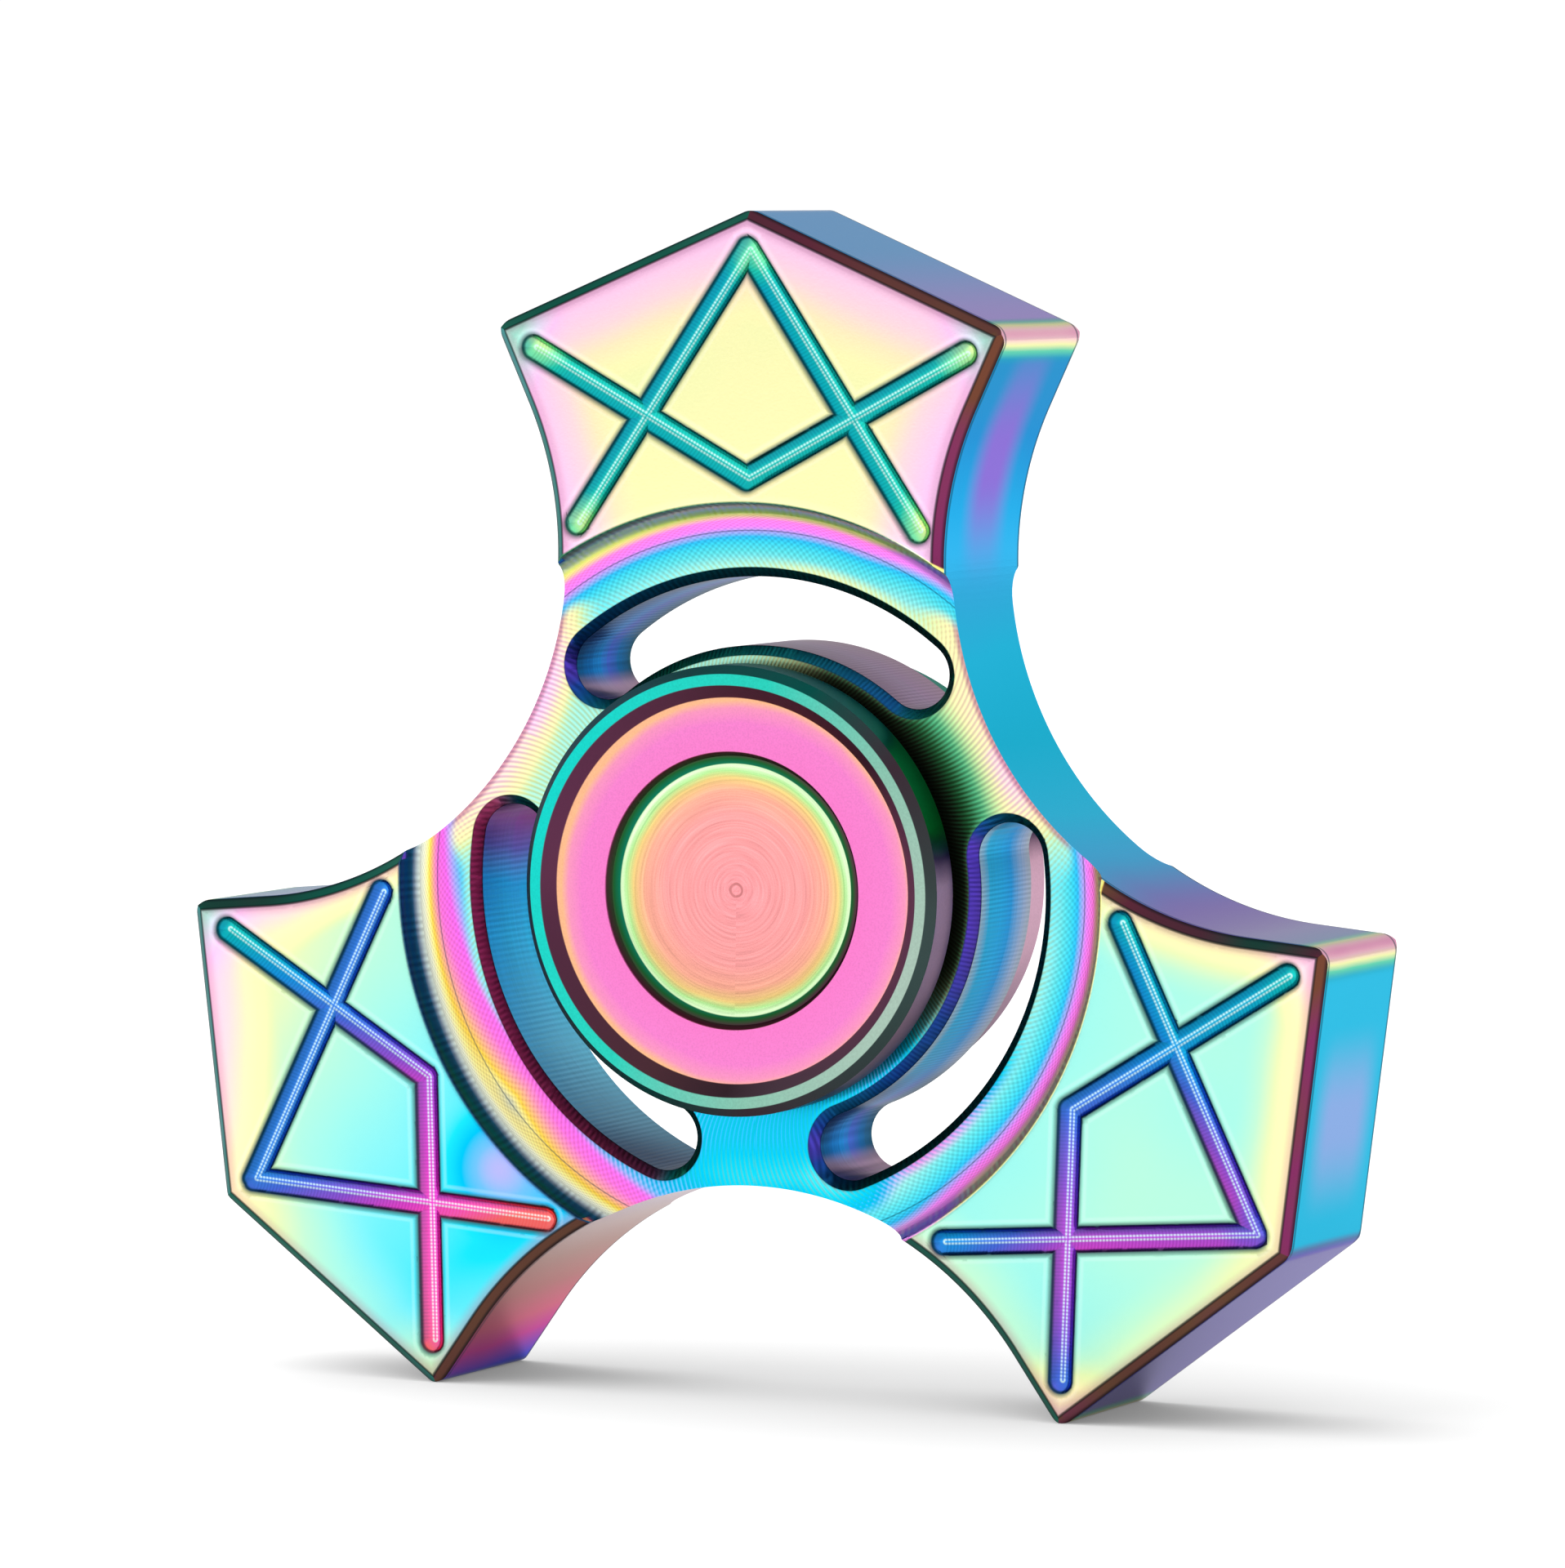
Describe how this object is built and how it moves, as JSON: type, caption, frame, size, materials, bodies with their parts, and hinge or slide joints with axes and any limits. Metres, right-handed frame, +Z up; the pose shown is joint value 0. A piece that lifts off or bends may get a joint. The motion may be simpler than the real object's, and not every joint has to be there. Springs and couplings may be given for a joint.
{
  "type": "fidget spinner",
  "caption": "Hand spinner: a flat milled metal body with lobed arms, crossed grooves and curved slots turns on a shielded ball bearing between two round finger caps.",
  "frame": {"origin": "centre of the bearing, on the spin axis at mid thickness", "axes": "+Y along the spin axis towards the rear cap, +Z up along the upper arm, +X to the right seen from the front"},
  "size_m": [0.0586, 0.0136, 0.0561],
  "materials": {
    "body_coated": "milled steel with a rainbow interference coating, semi-gloss",
    "cap_coated": "turned and blasted steel with a rainbow interference coating, satin",
    "bearing_steel": "ground steel",
    "shield_steel": "pressed sheet steel",
    "cage_steel": "pressed steel",
    "ball_steel": "polished steel"
  },
  "bodies": {
    "hub": {"cap_front": "cap_coated", "cap_rear": "cap_coated", "cap_stud": "bearing_steel", "bearing_inner_ring": "bearing_steel"},
    "rotor": {"rotor_body": "body_coated", "retaining_ring": "bearing_steel", "bearing_outer_ring": "bearing_steel", "bearing_shield_front": "shield_steel", "bearing_shield_rear": "shield_steel", "shield_clip_front": "shield_steel", "shield_clip_rear": "shield_steel"},
    "cage": {"ball_cage": "cage_steel", "ball_01": "ball_steel", "ball_02": "ball_steel", "ball_03": "ball_steel", "ball_04": "ball_steel", "ball_05": "ball_steel", "ball_06": "ball_steel", "ball_07": "ball_steel", "ball_08": "ball_steel", "ball_09": "ball_steel", "ball_10": "ball_steel"}
  },
  "joints": [
    {"name": "rotor_spin", "type": "hinge", "parent": "hub", "child": "rotor", "pos_m": [0, 0, 0], "axis": [0, 1, 0], "continuous": true},
    {"name": "cage_spin", "type": "hinge", "parent": "hub", "child": "cage", "pos_m": [0, 0, 0], "axis": [0, 1, 0], "continuous": true}
  ],
  "couplings": [
    {"joint": "cage_spin", "follows": "rotor_spin", "ratio": 0.58336}
  ]
}
